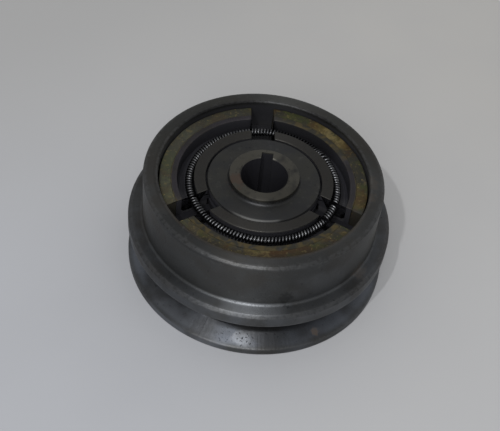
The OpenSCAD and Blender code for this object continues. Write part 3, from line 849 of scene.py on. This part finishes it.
class CLUTCH_OT_hub(bpy.types.Operator):
    """Hub: a profile turned round the axis, whose bore follows the outline of the keyway and
    whose driver follows the outline of its three arms"""

    bl_idname = "clutch.hub"
    bl_label = "Hub"

    def execute(self, context):
        s = sizes()
        key_turn, half_key = math.radians(GAP_TURNS[0] - KEYWAY_OFF), s["key_w"] / 2
        bore, boss, disc, face, top = (
            s[key] for key in ("bore_r", "boss_r", "disc_r", "disc_z", "boss_z")
        )
        neck_z, foot_z, bevel, fillet = face - 2.9, 1, 0.5, 1.2
        rows = joined(
            [(bore + bevel, foot_z), (SLEEVE_R - bevel, foot_z), (SLEEVE_R, foot_z + bevel)],
            [(SLEEVE_R, HUB_CLIP_Z), (HUB_CLIP_R, HUB_CLIP_Z), (HUB_CLIP_R, SEAT_Z0)],
            [(SLEEVE_R, SEAT_Z0), (SLEEVE_R, SEAT_Z1), (SHOULDER_R, SEAT_Z1)],
            [(SHOULDER_R, DRIVER_Z0), (DRIVER_R, DRIVER_Z0), *[(DRIVER_R, DRIVER_Z1)] * 2],
            [(DRIVER_R, SLOT_Z), (SLOT_R, SLOT_Z), (SLOT_R, neck_z), (disc, neck_z)],
            [(disc, face - 0.7), (disc - 0.3, face - 0.2), (disc - 0.9, face)],
            [(21, face), (18, face)],
            arc(boss + fillet, face + fillet, fillet, 270, 180),
            [(boss, top - bevel), (boss - 0.14, top - 0.14), (boss - bevel, top), (12.9, top)],
            [(bore + bevel, top), (bore, top - bevel), (bore, 36), (bore, 18)],
            [(bore, foot_z + bevel)],
        )
        count = len(rows)
        in_bore = np.zeros(count, bool)
        in_bore[[0, *range(count - 5, count)]] = True
        on_arm = np.zeros(count, bool)
        on_arm[[10, 11]] = True
        even = np.linspace(0, 2 * math.pi, s["segments"], endpoint=False)
        key_corners = [math.asin(half_key / r) for r in (bore, bore + bevel)]
        key_corners += [math.atan(half_key / s["key_top"])]
        arm_side = np.arcsin(ARM_HALF / np.linspace(disc, ARM_R, 7))
        marks = [key_turn + side * a for side in (-1, 1) for a in key_corners]
        marks += [
            math.radians(g) + side * a for g in GAP_TURNS for side in (-1, 1) for a in arm_side
        ]
        angle = np.unique(np.round(np.mod(np.concatenate([even, marks]), 2 * math.pi), 9))
        off = np.abs(half_turns(angle - key_turn))
        near = np.maximum(np.sin(off), 1e-6)
        key = np.where(off < key_corners[2] + 1e-9, s["key_top"] / np.cos(off), half_key / near)
        key = np.where(off < key_corners[0] + 1e-9, key, 0)
        gap = np.array([math.radians(g) for g in GAP_TURNS])[:, None]
        off = np.abs(half_turns(angle[None] - gap)).min(0)
        arm = np.clip(ARM_HALF / np.maximum(np.sin(off), 1e-6), disc, ARM_R)
        arm = np.where(off > 0.5, disc, arm)
        r = np.repeat(rows[:, 0][None], len(angle), 0)
        r = np.where(in_bore[None], np.maximum(r, key[:, None]), r)
        r = np.where(on_arm[None], np.maximum(r, arm[:, None]), r)
        points = cylindrical(r, angle[:, None], rows[None, :, 1]).reshape(-1, 3)
        worn = np.tile(edge_wear(rows, rows[[18, 19, 28, 29, 32, 33]], 0.5), len(angle))
        points, first, whole, triangles = weld(points, quads(len(angle), count))
        hub = piece("hub_body", points, whole, triangles.tolist(), {"wear": worn[first]})
        dress(hub, "hub", "hub_steel", "hub")
        return {"FINISHED"}


def sweep_shoe(name, loop, turn, gap, soft_end, uneven=None, marks=None, rounds=121):
    """A loop (r, z) carried round the axis between two planes that lie gap / 2 from the lines
    of the gaps: the end angle at radius r is 60 degrees - asin(gap / 2 / r). Each end is eased
    by drawing the loop in as it nears its plane. marks holds values for the loop's points."""
    steps = np.array([[0.0, 1.0], [0.12, 0.55], [0.45, 0.18], [1.0, 0.0]]) * soft_end
    side = np.concatenate([-np.ones(3), np.linspace(-1, 1, rounds), np.ones(3)])
    near = np.concatenate([steps[:3, 0], np.full(rounds, soft_end), steps[2::-1, 0]])
    drawn = np.concatenate([steps[:3, 1], np.zeros(rounds), steps[2::-1, 1]])
    normal = outward(loop)
    r = loop[None, :, 0] - drawn[:, None] * normal[None, :, 0]
    z = loop[None, :, 1] - drawn[:, None] * normal[None, :, 1]
    reach = math.radians(60) - np.arcsin((gap / 2 + near[:, None]) / r)
    angle = math.radians(turn) + side[:, None] * reach
    if uneven is not None:
        deep = uneven(cylindrical(r, angle, z))
        r, z = r - deep * normal[None, :, 0], z - deep * normal[None, :, 1]
    points = cylindrical(r, angle, z).reshape(-1, 3)
    lines, count = len(side), len(loop)
    first = np.arange(count)
    last = (lines - 1) * count + np.arange(count)[::-1]
    faces = quads(lines, count, wrap_rows=False)
    end = np.zeros((lines, count))
    end[[0, -1]] = 1
    marks = {key: np.tile(values, lines) for key, values in (marks or {}).items()}
    marks["end"] = end.reshape(-1)
    return piece(name, points, faces, [first.tolist(), last.tolist()], marks)


class CLUTCH_OT_shoes(bpy.types.Operator):
    """Three shoes: the section with its tongue, spring groove and two walls, carried round
    between the gap planes"""

    bl_idname = "clutch.shoes"
    bl_label = "Shoes"

    def execute(self, context):
        s = sizes()
        top, r0, r1 = s["shoe_z"], s["disc_r"] + 0.6, s["lining_r0"] - 0.1
        groove0, groove1, seat = r0 + 4.85, r1 - 2.6, 29.15
        foot, seat_top, bevel = top - 7.5, s["spring_z"] + 1.9, 0.2
        corners = joined(
            [(r0, DRIVER_Z0), (r1 - 0.5, DRIVER_Z0), (r1, DRIVER_Z0 + 0.5), (r1, top)],
            [(groove1 + bevel, top), (groove1, top - bevel), (groove1, foot + 1)],
            [(groove1 - 1, foot), (seat + 1, foot), (seat, foot + 1), (seat, seat_top - 0.3)],
            [(groove0, seat_top), (groove0, top - bevel), (groove0 - bevel, top)],
            [(r0 + bevel, top), (r0, top - bevel), (r0, TONGUE_Z1), (TONGUE_R, TONGUE_Z1)],
            [(TONGUE_R, TONGUE_Z0), (r0, TONGUE_Z0)],
        )
        loop = dense(eased(corners, 0.12, 2), 1.2)
        marks = {"wear": edge_wear(loop, corners, 0.45) * (loop[:, 1] > top - 2)}
        for side, turn in SHOE_TURNS.items():
            made = sweep_shoe("shoe_body_" + side, loop, turn, s["shoe_gap"], 0.3, marks=marks)
            dress(made, side + "_shoe", "shoe_iron", "shoe_" + side)
        return {"FINISHED"}


class CLUTCH_OT_linings(bpy.types.Operator):
    """Three friction linings: a block section carried round between the gap planes, with a
    slightly uneven moulded face"""

    bl_idname = "clutch.linings"
    bl_label = "Friction linings"

    def execute(self, context):
        s = sizes()
        r0, r1, foot, top = s["lining_r0"] - 0.08, s["lining_r1"], 26.7, s["shoe_z"]
        corners = joined([(r0, foot), (r1, foot), (r1, top), (r0, top)])
        loop = dense(eased(corners, np.array([0.04, 0.45, 0.45, 0.04]), 4), 0.7)

        def uneven(points):
            broad = ripple(points, 9, 21)
            fine = ripple(points, 2.4, 22)
            return np.clip(0.07 + 0.045 * broad + 0.03 * fine, 0, 0.25)

        for side, turn in SHOE_TURNS.items():
            name = "lining_block_" + side
            made = sweep_shoe(name, loop, turn, s["shoe_gap"], 0.35, uneven)
            dress(made, side + "_shoe", "friction_lining", "lining_" + side)
        return {"FINISHED"}


class CLUTCH_OT_spring(bpy.types.Operator):
    """Garter spring: the middle of the wire runs round a coil of radius c, whose own middle
    runs round the axis at radius R: r = R + c cos(n a), z = Z + c sin(n a). The coil is cut at
    the middle of the gaps into three thirds, one by each shoe"""

    bl_idname = "clutch.spring"
    bl_label = "Garter spring"

    def execute(self, context):
        s = sizes()
        sides, per_coil = 8, 22
        steps = int(s["coils"] / 3 * per_coil)
        joint = math.radians(31)

        def wire(a):
            """Middle of the wire at angle a, and the turn of the coil there. At the joint, the
            end that is screwed into the other lifts the coils, and spreads and tightens them."""
            off = half_turns(a - joint)
            near = np.exp(-((off / 0.15) ** 2))
            phase = s["coils"] * a - 62 * off * np.exp(-((off / 0.11) ** 2))
            coil = s["coil_r"] * (1 - 0.09 * near * (1 + np.sin(37 * a)))
            middle = s["spring_r"] - 0.12 * near * (1 + np.sin(23 * a))
            high = s["spring_z"] + 0.65 * near
            r, z = middle + coil * np.cos(phase), high + coil * np.sin(phase)
            return cylindrical(r, a, z), phase

        for side, turn in SHOE_TURNS.items():
            a = math.radians(turn - 60) + np.linspace(0, math.radians(120), steps + 1)
            centre, phase = wire(a)
            along = wire(a + 1e-5)[0] - centre
            along /= np.linalg.norm(along, axis=1)[:, None]
            out = cylindrical(np.cos(phase), a, np.sin(phase))
            across = np.cross(along, out)
            across /= np.linalg.norm(across, axis=1)[:, None]
            up = np.cross(across, along)
            b = np.linspace(0, 2 * math.pi, sides, endpoint=False)[None, :, None]
            round_wire = np.cos(b) * up[:, None] + np.sin(b) * across[:, None]
            ring = centre[:, None] + s["wire_r"] * round_wire
            first = list(range(sides))
            last = [steps * sides + k for k in range(sides)][::-1]
            faces = quads(steps + 1, sides, wrap_rows=False)
            name = "garter_spring_" + side
            made = piece(name, ring.reshape(-1, 3), faces, [first, last], sharp=60)
            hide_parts("garter_spring")
            made.data.materials.append(finish("spring_wire"))
            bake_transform(made)
        return {"FINISHED"}


class CLUTCH_OT_bearing(bpy.types.Operator):
    """Bearing: seals with a raised lip and a groove, turned round the axis; the rings, cage and
    balls stay as the CAD has them"""

    bl_idname = "clutch.bearing"
    bl_label = "Bearing"

    def execute(self, context):
        half, waist, groove = SEAL_T / 2, 0.22, 0.25
        shape = [(0, half), (0.5, half), (0.8, waist), (1.5, waist), (1.8, half), (3.6, half)]
        shape += [(3.9, groove), (4.6, groove), (4.9, half), (SEAL_R1 - SEAL_R0, half)]
        shape = np.array(shape)
        for name, foot, flip in (("lower", 5.13, -1), ("upper", 17.07, 1)):
            middle = foot + half
            face = np.stack([SEAL_R0 + shape[:, 0], middle + flip * shape[:, 1]], 1)
            back = [(SEAL_R1, middle - flip * half), (SEAL_R0, middle - flip * half)]
            loop = dense(eased(joined(face, back), 0.1, 2), 0.8)
            made = revolve("seal_ring_" + name, loop, 192)
            dress(made, "drum", "seal_rubber", "bearing_seal_" + name)
        refinish("bearing_steel", "bearing_inner_ring", "bearing_outer_ring")
        refinish("bearing_steel", *[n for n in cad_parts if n.startswith("bearing_ball")])
        refinish("cage_polymer", "bearing_cage")
        return {"FINISHED"}


class CLUTCH_OT_circlips(bpy.types.Operator):
    """Circlips: both stay as the CAD has them, in blued spring steel"""

    bl_idname = "clutch.circlips"
    bl_label = "Circlips"

    def execute(self, context):
        refinish("spring_steel", "hub_circlip", "drum_circlip")
        return {"FINISHED"}


class CLUTCH_OT_stage(bpy.types.Operator):
    """Stage: a pale floor, a pale world, three soft lamps and the camera"""

    bl_idname = "clutch.stage"
    bl_label = "Stage"

    def execute(self, context):
        self.floor()
        self.world(context)
        self.lamp("key_lamp", -125, 55, 2.2, 0.06, 10.5)
        self.lamp("room_lamp", -95, 60, 1.2, 0.08, 3.6)
        self.lamp("window_lamp", -106, 34, 2.6, 1.2, 11.0)
        # The camera was fitted to the rims, the boss, the bore and the shoes in the photograph,
        # and the key lamp to the edge of the shadow
        camera = linked("camera", bpy.data.cameras.new("camera"))
        camera.data.sensor_width = 36
        camera.data.lens = 72.004
        camera.data.clip_start, camera.data.clip_end = 0.01, 20
        camera.location = (-0.03246, -0.28939, 0.35050)
        camera.rotation_euler = Euler([math.radians(x) for x in (41.4008, -4.6662, -0.3481)])
        context.scene.camera = camera
        context.scene.view_settings.view_transform = "Standard"
        return {"FINISHED"}

    def floor(self):
        """A flat pale disc under the part, seen from above only. It is open under the pulley,
        where only the underside sees it, and closed again under the bore. Its tone carries painted
        shade at the back left and painted light at the front right."""
        steps = 96
        turn = np.linspace(0, 2 * math.pi, steps, endpoint=False)
        wide, under, bore = (cylindrical(r, turn, 0) for r in (4000, 55.5, 14.5))
        ring = quads(2, steps, wrap_rows=False).tolist()
        plug = list(range(2 * steps, 3 * steps))
        mesh = bpy.data.meshes.new("floor")
        points = np.vstack([wide, under, bore]) * MM
        mesh.from_pydata(points.tolist(), [], [*ring, plug])
        floor = linked("floor", mesh)
        f = Finish("painted board, matt", "floor_near", 0.0)
        slopes = ({0: f.sides["x"], 1: slope, 2: f.sides["y"]} for slope in (0.7, -1.0))
        right, left = (add(f.tree, "Math", slope, operation="MULTIPLY_ADD") for slope in slopes)
        f.lay("floor_far", (right, -0.15, 0.25))
        f.lay("9E9FA3", (f.patches(60, 1.0), 0.35, 0.7), most=0.12)
        # Painted shade at the back left of the floor and painted light at the front right
        f.lay("A2A2A2", (left, 0.08, 0.30), most=0.8)
        f.lay("B4B4B4", (left, -0.02, -0.16), most=0.5)
        values = {"Base Color": f.colour, "Roughness": 0.85, "Specular IOR Level": 0.2}
        top = add(f.tree, "BsdfPrincipled", values)
        clear = add(f.tree, "BsdfTransparent", {})
        behind = add(f.tree, "NewGeometry", {}, "Backfacing")
        shader = add(f.tree, "MixShader", {0: behind, 1: top, 2: clear})
        add(f.tree, "OutputMaterial", {"Surface": shader}, None)
        mesh.materials.append(f.material)

    def world(self, context):
        """An even grey light from everywhere, which is the backdrop too."""
        world = bpy.data.worlds.new("studio")
        world.use_nodes = True
        tree = world.node_tree
        tree.nodes.clear()
        light = add(tree, "Background", {"Color": (1, 1, 1, 1), "Strength": 0.53})
        add(tree, "OutputWorld", {"Surface": light}, None)
        context.scene.world = world

    def lamp(self, name, azimuth, elevation, distance, size, watts):
        """A round soft lamp that faces the part from a direction given in degrees."""
        light = bpy.data.lights.new(name, "AREA")
        light.shape, light.size, light.energy = "DISK", size, watts
        lamp = linked(name, light)
        a, e = math.radians(azimuth), math.radians(elevation)
        way = (math.cos(a) * math.cos(e), math.sin(a) * math.cos(e), math.sin(e))
        lamp.location = tuple(distance * x for x in way)
        lamp.rotation_euler = (math.pi / 2 - e, 0, a + math.pi / 2)


STEPS = (
    CLUTCH_OT_drum,
    CLUTCH_OT_hub,
    CLUTCH_OT_shoes,
    CLUTCH_OT_linings,
    CLUTCH_OT_spring,
    CLUTCH_OT_bearing,
    CLUTCH_OT_circlips,
    CLUTCH_OT_stage,
)


class CLUTCH_PT_panel(bpy.types.Panel):
    """Steps and values of the clutch"""

    bl_label = "Centrifugal clutch"
    bl_idname = "CLUTCH_PT_panel"
    bl_space_type = "VIEW_3D"
    bl_region_type = "UI"
    bl_category = "Clutch"

    def draw(self, context):
        for step in STEPS:
            self.layout.operator(step.bl_idname)
        for group in (context.scene.clutch_sizes, context.scene.clutch_colours):
            box = self.layout.box()
            for key in group.__annotations__:
                box.prop(group, key)


CLASSES = (ClutchSizes, ClutchColours, *STEPS, CLUTCH_PT_panel)


def register():
    for kind in CLASSES:
        bpy.utils.register_class(kind)
    bpy.types.Scene.clutch_sizes = bpy.props.PointerProperty(type=ClutchSizes)
    bpy.types.Scene.clutch_colours = bpy.props.PointerProperty(type=ClutchColours)


def unregister():
    del bpy.types.Scene.clutch_colours
    del bpy.types.Scene.clutch_sizes
    for kind in reversed(CLASSES):
        bpy.utils.unregister_class(kind)


def main():
    """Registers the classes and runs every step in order."""
    register()
    for step in STEPS:
        group, name = step.bl_idname.split(".")
        getattr(getattr(bpy.ops, group), name)()


if __name__ == "__main__":
    main()
